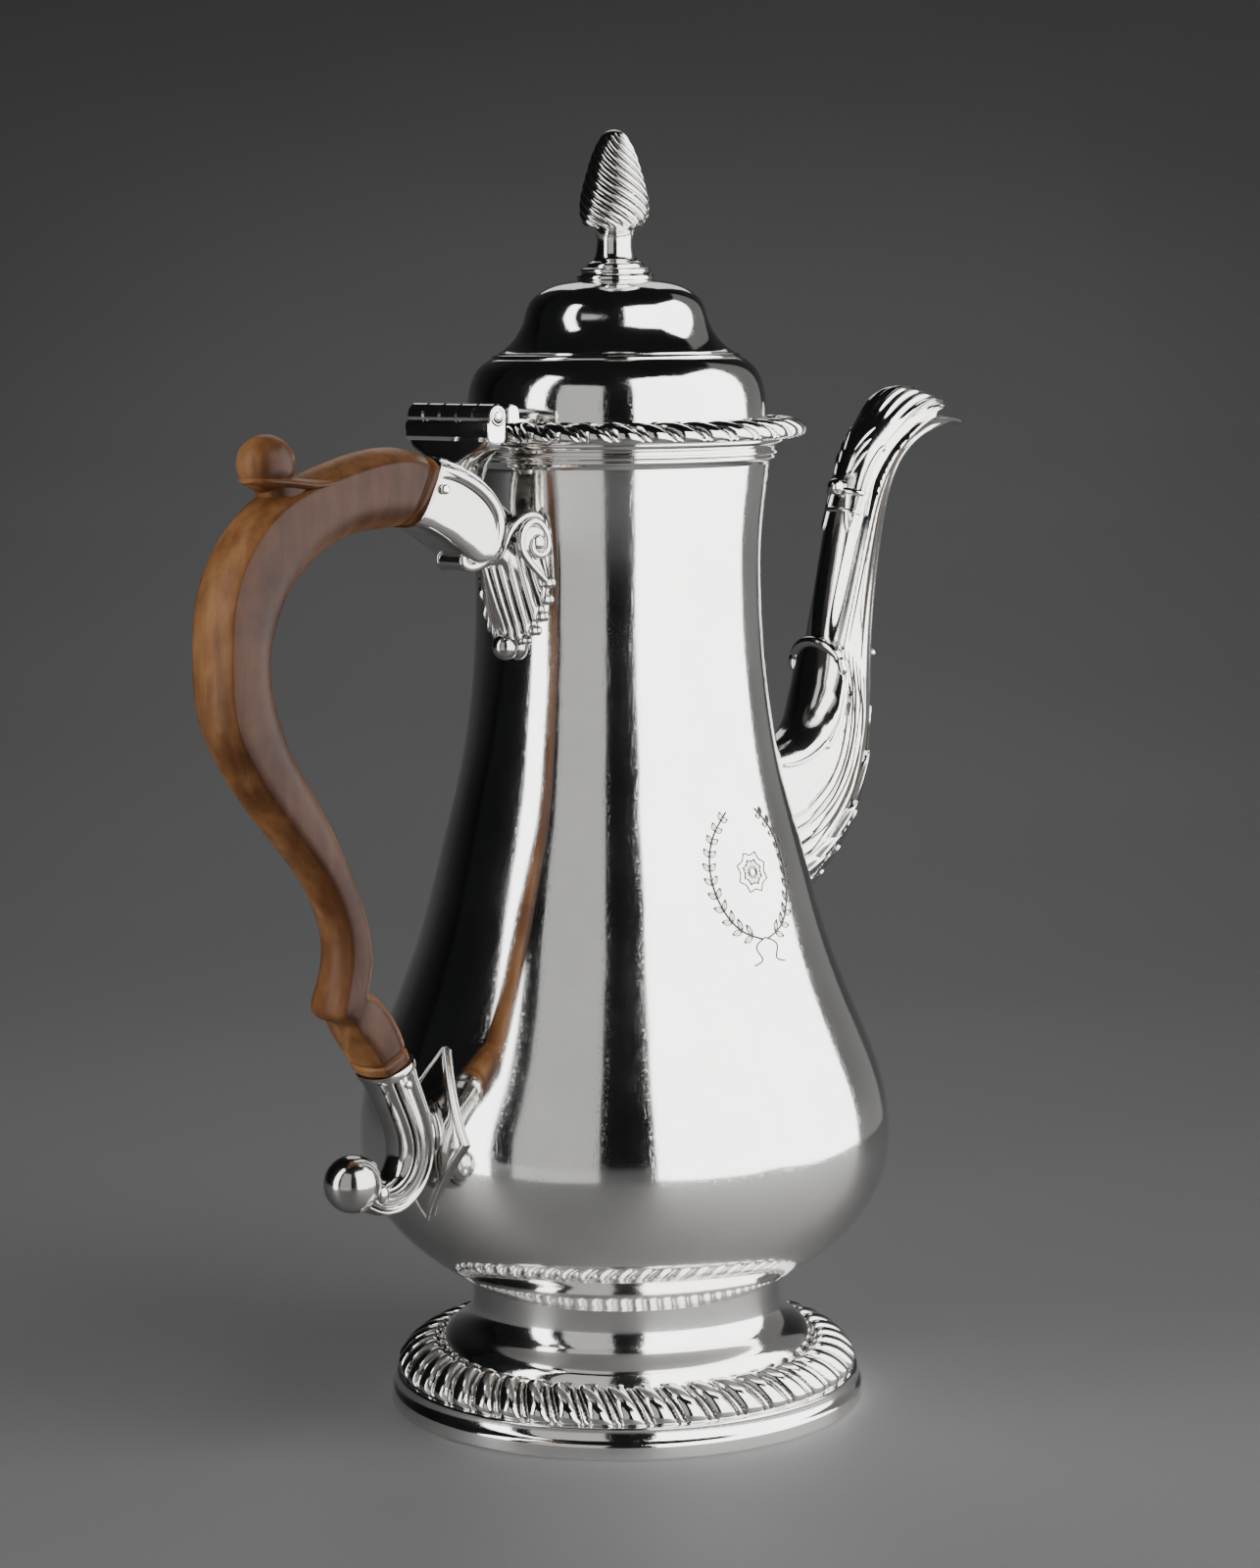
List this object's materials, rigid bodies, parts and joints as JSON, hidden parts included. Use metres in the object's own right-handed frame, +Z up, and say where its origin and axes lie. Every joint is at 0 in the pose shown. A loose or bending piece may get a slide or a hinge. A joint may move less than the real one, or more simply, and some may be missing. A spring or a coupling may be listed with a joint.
{
  "type": "coffee pot",
  "caption": "Baluster silver coffee pot on a gadrooned foot, with a leaf-capped spout, hinged domed lid, writhen finial and wooden scroll handle.",
  "frame": {"origin": "centre of the foot's resting face, on the surface that the pot stands on", "axes": "+Z up along the axis of the body, +X towards the spout, -X towards the handle; the XZ plane is the pot's plane of symmetry"},
  "size_m": [0.2361, 0.1222, 0.2903],
  "materials": {
    "silver": "polished silver with fine handling scratches",
    "wood": "waxed fruitwood with darker grain"
  },
  "bodies": {
    "root": {"body": "silver", "rim_moulding": "silver", "foot_spool": "silver", "foot_gadroon": "silver", "foot_rim": "silver", "spout": "silver", "upper_socket": "silver", "shell_drop": "silver", "upper_socket_pin": "silver", "handle_grip": "wood", "lower_socket": "silver", "lower_socket_pin": "silver", "handle_plate": "silver", "hinge_fixed_leaf": "silver", "hinge_pin": "silver"},
    "lid": {"hinge_lid_leaf": "silver", "lid_dome": "silver", "lid_flange": "silver", "lid_gadroon": "silver", "lid_bezel": "silver", "finial_collar": "silver", "finial": "silver", "finial_stud": "silver", "finial_washer": "silver", "finial_nut": "silver"}
  },
  "joints": [
    {"name": "lid_hinge", "type": "hinge", "parent": "root", "child": "lid", "pos_m": [-0.0483, 0, 0.2278], "axis": [0, -1, 0], "range_deg": [0, 105]}
  ]
}
